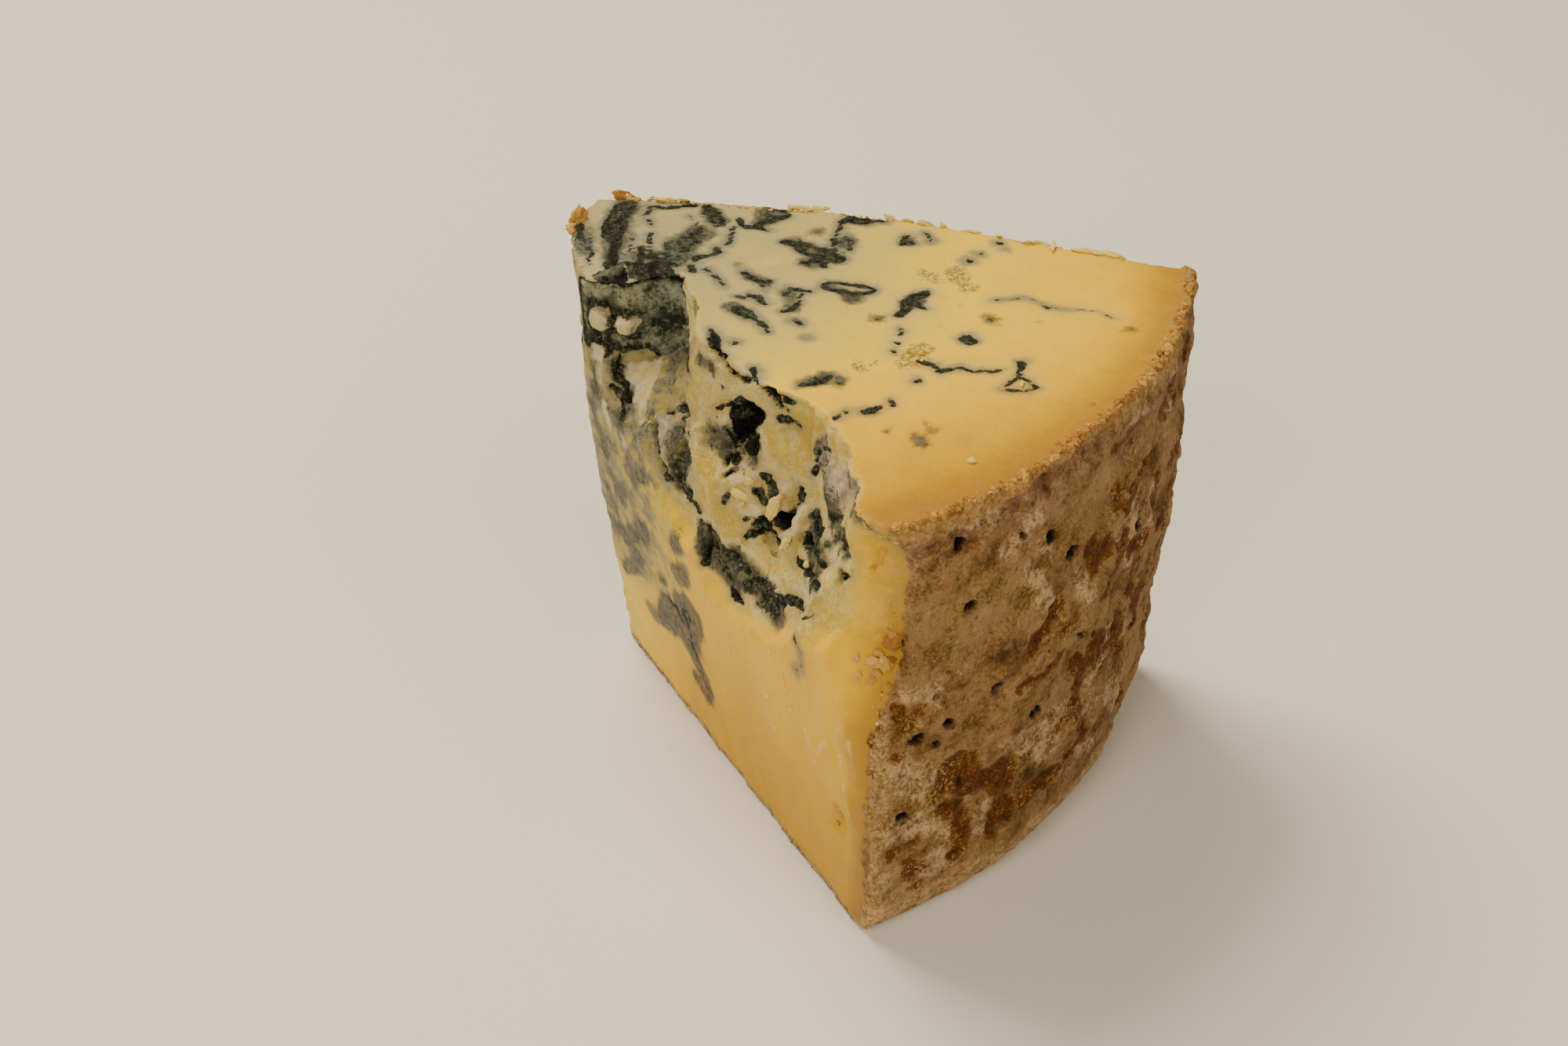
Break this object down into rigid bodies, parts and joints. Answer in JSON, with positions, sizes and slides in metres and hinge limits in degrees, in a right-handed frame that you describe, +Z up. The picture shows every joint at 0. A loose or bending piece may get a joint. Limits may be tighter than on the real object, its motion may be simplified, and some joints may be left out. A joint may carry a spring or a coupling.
{
  "type": "blue cheese wedge",
  "caption": "Wedge cut from a small wheel of blue cheese, with a rough natural rind, blue mould veins and one cut side broken open.",
  "frame": {"origin": "middle of the wedge's bounding box, at the height of the flat base that it rests on", "axes": "+Z up, +X from the blunt nose along the middle of the wedge towards the rind, -Y towards the broken cut side"},
  "size_m": [0.0792, 0.066, 0.0634],
  "materials": {
    "blue_cheese": "soft yellow-cream paste with blue-green mould veins, and a matte grey-brown rind"
  },
  "bodies": {
    "root": {"cheese_wedge": "blue_cheese"}
  },
  "joints": []
}
